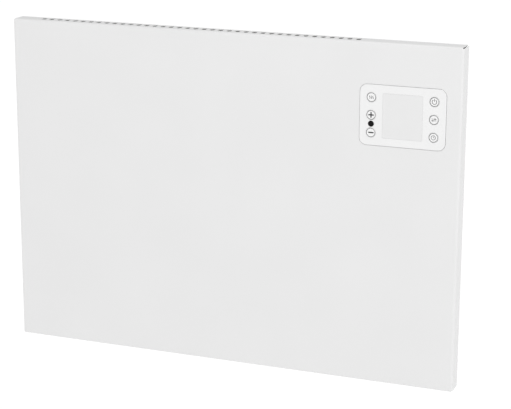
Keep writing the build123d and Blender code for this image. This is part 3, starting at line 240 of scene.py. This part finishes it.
def drawn_metal(name, light, dark, roughness, stretch):
    """Extruded or drawn metal: fine lines along the way that it left the die."""
    finish, tree, shader, place = start_finish(name, roughness, Metallic=1.0)
    # the lines are 0.5 mm apart, coarser than real, so that they show
    along = add_node(tree, "Mapping", {"Scale": stretch}, {"Vector": place})
    lines = add_node(tree, "TexNoise", {"Scale": 1 / (0.5 * MM), "Detail": 3.0},
                     {"Vector": along.outputs["Vector"]})
    add_node(tree, "MixRGB", {"Color1": srgb(light), "Color2": srgb(dark)},
             {"Fac": lines.outputs["Fac"]}, {"Color": shader.inputs["Base Color"]})
    add_node(tree, "Bump", {"Strength": 0.25, "Distance": 0.02 * MM},
             {"Height": lines.outputs["Fac"]}, {"Normal": shader.inputs["Normal"]})
    return finish


def fired_steatite(name):
    """Unglazed steatite: chalky cream with dark specks about 0.6 mm across."""
    finish, tree, shader, place = start_finish(name, 0.7, IOR=1.6)
    specks = add_node(tree, "TexNoise", {"Scale": 1 / (0.6 * MM), "Detail": 4.0}, {"Vector": place})
    add_node(tree, "MixRGB", {"Color1": srgb("EFEADB"), "Color2": srgb("D3CBB4")},
             {"Fac": specks.outputs["Fac"]}, {"Color": shader.inputs["Base Color"]})
    return finish


def stacked_laminations(name):
    """A varnished transformer core: dark steel sheets 0.5 mm thick, seen edge on."""
    finish, tree, shader, place = start_finish(name, 0.45, IOR=1.5)
    sheets = add_node(tree, "TexWave",
                      {"bands_direction": "Y", "Scale": WAVE_PERIOD / (0.5 * MM),
                       "Distortion": 0.3}, {"Vector": place})
    add_node(tree, "MixRGB", {"Color1": srgb("2A211B"), "Color2": srgb("4B4038")},
             {"Fac": sheets.outputs["Fac"]}, {"Color": shader.inputs["Base Color"]})
    return finish


def striped_pvc(name, light, dark, spacing, direction):
    """Flexible PVC with ribs: a flat cable's conductors, or the marks of its extruder.
    The ribs' spacing is in millimetres."""
    finish, tree, shader, place = start_finish(name, 0.5, IOR=1.53)
    ribs = add_node(tree, "TexWave",
                    {"bands_direction": direction, "Scale": WAVE_PERIOD / (spacing * MM)},
                    {"Vector": place})
    add_node(tree, "MixRGB", {"Color1": srgb(light), "Color2": srgb(dark)},
             {"Fac": ribs.outputs["Fac"]}, {"Color": shader.inputs["Base Color"]})
    add_node(tree, "Bump", {"Strength": 0.4, "Distance": 0.15 * MM},
             {"Height": ribs.outputs["Fac"]}, {"Normal": shader.inputs["Normal"]})
    return finish


def braided_glass_sleeve(name):
    """Glass-fibre sleeving: cream strands 0.9 mm wide that cross each other."""
    finish, tree, shader, place = start_finish(name, 0.8, IOR=1.5)
    strands = add_node(tree, "TexChecker",
                       {"Color1": srgb("E4DBC4"), "Color2": srgb("C4B795"),
                        "Scale": 1 / (0.9 * MM)},
                       {"Vector": place}, {"Color": shader.inputs["Base Color"]})
    add_node(tree, "Bump", {"Strength": 0.5, "Distance": 0.1 * MM},
             {"Height": strands.outputs["Fac"]}, {"Normal": shader.inputs["Normal"]})
    return finish


def pad_printed_ink(name, light, dark):
    """Pad-printed ink: a thin film, a little uneven over 0.8 mm, where the pad lifted."""
    finish, tree, shader, place = start_finish(name, 0.5, IOR=1.5)
    film = add_node(tree, "TexNoise", {"Scale": 1 / (0.8 * MM), "Detail": 2.0}, {"Vector": place})
    add_node(tree, "MixRGB", {"Color1": srgb(light), "Color2": srgb(dark)},
             {"Fac": film.outputs["Fac"]}, {"Color": shader.inputs["Base Color"]})
    return finish


# ---------------------------------------------------------------- finishes on the solids
panel_low, panel_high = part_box("front_panel")
inset = Vector((cover_inset, 0, cover_inset))
cover_low = Vector(panel_low) + inset
cover_high = Vector(panel_high) - inset
cover_high.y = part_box("rear_cover")[1][1]
# the insides of the panel and the cover, which their finishes paint dark grey as painted shade
panel_inside = inside_of(Vector(panel_low), Vector(panel_high))
cover_inside = inside_of(cover_low, cover_high)

lines_along_x = (0.03, 1.0, 1.0)
lines_along_z = (1.0, 1.0, 0.03)

# each finish with the nodes that have it; a plastic is given its two colours, its roughness,
# and where the mould was coarser or finer, the texture's width and relief in millimetres
finishes = [
    (powder_coated_steel("powder_coated_steel_panel", "ECECEC", "E8E8E8", panel_inside),
     ["front_panel"]),
    (powder_coated_steel("powder_coated_steel_cover", "E6E6E7", "E1E1E2", cover_inside),
     ["rear_cover", "cover_ends"]),
    (zinc_plated_steel("zinc_plated_steel"),
     ["wall_bracket", "cover_screws", "inner_screws", "control_screws", "shield_standoffs",
      "earth_stud"]),
    (galvanised_sheet("galvanised_steel_sheet"),
     ["panel_stiffeners", "element_stands", "heat_shield", "partition_wall"]),
    (moulded_plastic("moulded_abs_foot", "DADADA", "D2D2D2", 0.5, 0.5, 0.04), ["wall_spacers"]),
    (black_rubber("moulded_rubber", 0.5, 0.03), ["spacer_pads", "partition_grommet"]),
    (moulded_plastic("polished_abs_fascia", "F2F2F2", "EFEFEF", 0.28, 0.4, 0.005),
     ["control_fascia"]),
    (moulded_plastic("satin_abs_key", "F6F6F6", "F3F3F3", 0.3, 0.4, 0.005),
     ["key_" + key for key in KEYS]),
    (moulded_plastic("moulded_acetal", "1A1A1A", "222222", 0.4),
     ["plunger_" + key for key in KEYS]),
    (moulded_plastic("moulded_epoxy", "1C1C1E", "26262A", 0.5),
     ["tactile_switches", "ir_receiver"]),
    (polished_acrylic("tinted_acrylic_window", "EAEAEA", "E7E7E7"), ["display_window"]),
    (moulded_plastic("moulded_diffuser_white", "D6DCD8", "CBD2CE", 0.6), ["display_module"]),
    (infrared_polycarbonate("infrared_polycarbonate"), ["ir_lens"]),
    (etched_board("etched_glass_epoxy_board"), ["control_board", "power_board"]),
    (black_rubber("closed_cell_foam", 0.9, 0.15), ["control_gasket"]),
    (moulded_plastic("moulded_flame_retardant_abs", "4A4B4D", "525355", 0.55, 0.6, 0.05),
     ["control_housing", "rocker_frame", "sensor_clip"]),
    (moulded_plastic("satin_nylon_rocker", "161617", "1D1D1F", 0.35, 0.5, 0.02), ["rocker"]),
    (drawn_metal("stamped_brass", "D9BE7C", "C3A55E", 0.3, lines_along_x), ["rocker_tabs"]),
    (drawn_metal("extruded_aluminium", "DADCDD", "C4C7C9", 0.35, lines_along_x),
     ["heating_fins"]),
    (drawn_metal("drawn_stainless_tube", "B9B4AC", "A39C92", 0.3, lines_along_x),
     ["heating_rod"]),
    (drawn_metal("plated_sensor_tube", "C4C4C2", "B2B2B0", 0.28, lines_along_z),
     ["room_sensor"]),
    (fired_steatite("fired_steatite"), ["element_bushes"]),
    (moulded_plastic("moulded_phenolic", "2B2724", "38322E", 0.4), ["thermal_cutout"]),
    (moulded_plastic("natural_nylon", "E3E0D2", "D8D4C2", 0.45),
     ["power_standoffs", "lead_clips"]),
    (moulded_plastic("moulded_polyester_relay", "24406E", "2B4A7C", 0.35), ["power_relays"]),
    (stacked_laminations("varnished_laminations"), ["power_transformer"]),
    (moulded_plastic("moulded_capacitor_box", "C99A22", "BD8F1C", 0.35), ["film_capacitor"]),
    (moulded_plastic("moulded_terminal_nylon", "1F6A41", "236F47", 0.45), ["board_terminals"]),
    (moulded_plastic("moulded_white_nylon", "E6E6E2", "DDDDD8", 0.45),
     ["mains_terminals", "ribbon_socket"]),
    (striped_pvc("extruded_ribbon_pvc", "C4C5C8", "A3A5A9", 1.27, "X"), ["display_ribbon"]),
    (moulded_plastic("moulded_gland_nylon", "C9CACB", "C0C1C3", 0.5, 0.5, 0.04),
     ["cord_gland", "gland_nut"]),
    (braided_glass_sleeve("braided_glass_sleeve"), ["element_leads"]),
    (striped_pvc("extruded_wire_pvc", "30486F", "2A3F63", 3.0, "Z"), ["mains_wires"]),
]
for finish, nodes in finishes:
    for node in nodes:
        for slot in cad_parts[node].material_slots:
            slot.material = finish


# ---------------------------------------------------------------- printed marks
def arc(radius, first, last, steps, centre=(0.0, 0.0)):
    """Points along an arc, in millimetres, with its angles in degrees from the right."""
    angles = [math.radians(first + (last - first) * i / steps) for i in range(steps + 1)]
    return [(centre[0] + radius * math.cos(a), centre[1] + radius * math.sin(a)) for a in angles]


def stroke(points, width):
    """The outline of a line of even width with round ends."""
    line = [Vector(point) for point in points]
    left, right = [], []
    for i, point in enumerate(line):
        ahead = (line[min(i + 1, len(line) - 1)] - line[max(i - 1, 0)]).normalized()
        side = Vector((-ahead.y, ahead.x)) * width / 2
        left.append(point + side)
        right.append(point - side)
    caps = []
    for end, beside in ((line[-1], left[-1]), (line[0], right[0])):
        start = math.degrees(math.atan2(*(beside - end).yx))
        round_end = arc(width / 2, start, start - 180, cap_steps, end)[1:-1]
        caps.append([Vector(point) for point in round_end])
    return left + caps[0] + right[::-1] + caps[1]


def upright_cross(size, width):
    """A plus sign as one outline."""
    a, b = size / 2, width / 2
    return [(b, b), (b, a), (-b, a), (-b, b), (-a, b), (-a, -b),
            (-b, -b), (-b, -a), (b, -a), (b, -b), (a, -b), (a, b)]


def heat_wave(x, height=3.4, sway=0.45, steps=16):
    """One upright wave."""
    turns = [i / steps for i in range(steps + 1)]
    points = [(x + sway * math.sin(2 * math.pi * t), height * (t - 0.5)) for t in turns]
    return stroke(points, 0.6)


def print_marks(name, body, finish, place, outlines, rings=()):
    """Ink on a surface, in millimetres in the plane across place's Z.
    A ring is its inner radius, its outer radius and, off the middle, its centre."""
    mesh = bmesh.new()
    low, high = -ink_sunk, ink_proud
    for outline in outlines:
        floors = [mesh.verts.new((x, y, low)) for x, y in outline]
        tops = [mesh.verts.new((x, y, high)) for x, y in outline]
        mesh.faces.new(floors)
        mesh.faces.new(tops)
        for i in range(len(outline)):
            mesh.faces.new((floors[i - 1], floors[i], tops[i], tops[i - 1]))
    for inner, outer, *centre in rings:
        loops = []
        for radius, height in ((inner, low), (outer, low), (outer, high), (inner, high)):
            circle = arc(radius, 0, 360, ring_steps, centre or (0.0, 0.0))[:-1]
            loops.append([mesh.verts.new((x, y, height)) for x, y in circle])
        for here, there in zip(loops, loops[1:] + loops[:1]):
            for i in range(len(here)):
                mesh.faces.new((here[i - 1], here[i], there[i], there[i - 1]))
    bmesh.ops.recalc_face_normals(mesh, faces=mesh.faces)
    mesh.transform(place @ Matrix.Scale(MM, 4))
    data = bpy.data.meshes.new(name)
    mesh.to_mesh(data)
    mesh.free()
    data.materials.append(finish)
    marks = bpy.data.objects.new(name, data)
    bpy.context.scene.collection.objects.link(marks)
    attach(marks, body)


def drawn_at(point, right, up):
    """Stands a drawing at a point, with its x and its y along two directions."""
    return Matrix([*zip(right, up, right.cross(up), point), (0, 0, 0, 1)])


# each key's sign, as outlines and rings, and the ring that edges its cap
symbols = {
    "mode": ([heat_wave(-2.0), heat_wave(0.0), heat_wave(2.0)], []),
    "plus": ([upright_cross(6.8, bold)], []),
    "minus": ([stroke([(-2.5, 0), (3.0, 0)], bold)], []),
    "power": ([stroke(arc(2.8, 125, 415, 40), 0.65), stroke([(0, 0.7), (0, 3.5)], 0.65)], []),
    "set": ([stroke([(-3.0, 1.0), (0.5, 1.0)], 0.5), stroke([(2.3, 1.0), (3.0, 1.0)], 0.5),
             stroke([(-3.0, -1.0), (-2.3, -1.0)], 0.5), stroke([(-0.5, -1.0), (3.0, -1.0)], 0.5)],
            [(0.45, 0.95, 1.4, 1.0), (0.45, 0.95, -1.4, -1.0)]),
    "timer": ([stroke([(0, 1.6), (0, 0), (1.3, 0)], 0.55)], [(2.35, 2.9)]),
}
cap_ring = (5.0, 5.5)
key_ink = pad_printed_ink("pad_printed_grey_ink", "2F3032", "3A3B3D")
for key, (outlines, rings) in symbols.items():
    low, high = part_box("key_" + key)
    middle_of_cap = ((low[0] + high[0]) / 2, low[1], (low[2] + high[2]) / 2)
    place = drawn_at(middle_of_cap, Vector((1, 0, 0)), Vector((0, 0, 1)))
    print_marks("symbol_" + key, "key_" + key, key_ink, place, outlines, rings)
    print_marks("ring_" + key, "key_" + key, key_ink, place, [], [cap_ring])

# at rest the rocker's lower face is upright, and its upper one stands out by twice the tilt
bezel_low, bezel_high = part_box("rocker_frame")
pivot = Vector((bezel_high[0] - rocker_pivot_depth,
                (bezel_low[1] + bezel_high[1]) / 2, (bezel_low[2] + bezel_high[2]) / 2))
crease = pivot + rocker_crown * Vector((math.cos(rocker_tilt), 0, -math.sin(rocker_tilt)))
towards_wall = Vector((0, 1, 0))
upper_face = Vector((math.sin(2 * rocker_tilt), 0, math.cos(2 * rocker_tilt)))
lower_face = Vector((0, 0, 1))
middle_of_face = 3.9 * MM
rocker_ink = pad_printed_ink("pad_printed_white_ink", "E9E9E6", "DDDDDA")
print_marks("rocker_on_mark", "rocker", rocker_ink,
            drawn_at(crease + upper_face * middle_of_face, towards_wall, upper_face),
            [stroke([(0, -1.5), (0, 1.5)], 0.7)])
print_marks("rocker_off_mark", "rocker", rocker_ink,
            drawn_at(crease - lower_face * middle_of_face, towards_wall, lower_face),
            [], [(1.2, 1.85)])


# ---------------------------------------------------------------- studio
floor_reach = 14.0
floor_drop = 0.33
floor_height = cad_box[0][2] - floor_drop
floor_corners = [(x * floor_reach, y * floor_reach, floor_height)
                 for x, y in ((-1, -1), (1, -1), (1, 1), (-1, 1))]
floor_mesh = bpy.data.meshes.new("studio_floor")
floor_mesh.from_pydata(floor_corners, [], [(0, 1, 2, 3)])
floor = bpy.data.objects.new("studio_floor", floor_mesh)
bpy.context.scene.collection.objects.link(floor)
# matt paint with a glow, as bright as the photograph's white ground
floor_paint, tree, shader, _ = start_finish("floor_paint", 0.9, Emission_Strength=0.865)
shader.inputs["Base Color"].default_value = srgb("868686")
shader.inputs["Emission Color"].default_value = srgb("FFFFFF")
# seen from below, the floor lets the view through
below = add_node(tree, "NewGeometry", {})
clear = add_node(tree, "BsdfTransparent", {})
add_node(tree, "MixShader", {},
         {"Fac": below.outputs["Backfacing"], 1: shader.outputs["BSDF"],
          2: clear.outputs["BSDF"]},
         {"Shader": tree.nodes["Material Output"].inputs["Surface"]})
floor_mesh.materials.append(floor_paint)

world = bpy.data.worlds.new("studio_air")
world.use_nodes = True
air = world.node_tree.nodes["Background"]
air.inputs["Color"].default_value = srgb("FFFFFF")
air.inputs["Strength"].default_value = 0.54
bpy.context.scene.world = world


heater_middle = Vector((0.0, 0.0, -0.05))


def add_softbox(name, at, size, power):
    """A square area light that faces the heater."""
    light = bpy.data.lights.new(name, "AREA")
    light.shape = "SQUARE"
    light.size = size
    light.energy = power
    lamp = bpy.data.objects.new(name, light)
    lamp.location = at
    lamp.rotation_euler = (heater_middle - Vector(at)).to_track_quat("-Z", "Y").to_euler()
    bpy.context.scene.collection.objects.link(lamp)


add_softbox("softbox_front", (1.4, -1.95, 3.3), 2.0, 73.0)
add_softbox("softbox_right", (2.95, -0.4, 0.4), 1.6, 1.0)
add_softbox("softbox_back", (0.9, 2.9, 1.0), 1.6, 4.0)

# the camera's place and lens were solved from the four edges of the front face
camera_data = bpy.data.cameras.new("camera")
camera_data.sensor_width = 36.0
camera_data.lens = 116.8
camera = bpy.data.objects.new("camera", camera_data)
right = Vector((0.93050, 0.36628, 0.00369))
up = Vector((-0.09708, 0.23690, 0.96667))
back = Vector((0.35320, -0.89984, 0.25599))
camera.matrix_world = Matrix((right, up, back)).transposed().to_4x4()
camera.location = (0.7750, -1.9558, 0.4782)
bpy.context.scene.collection.objects.link(camera)
bpy.context.scene.camera = camera
bpy.context.scene.view_settings.view_transform = "Standard"
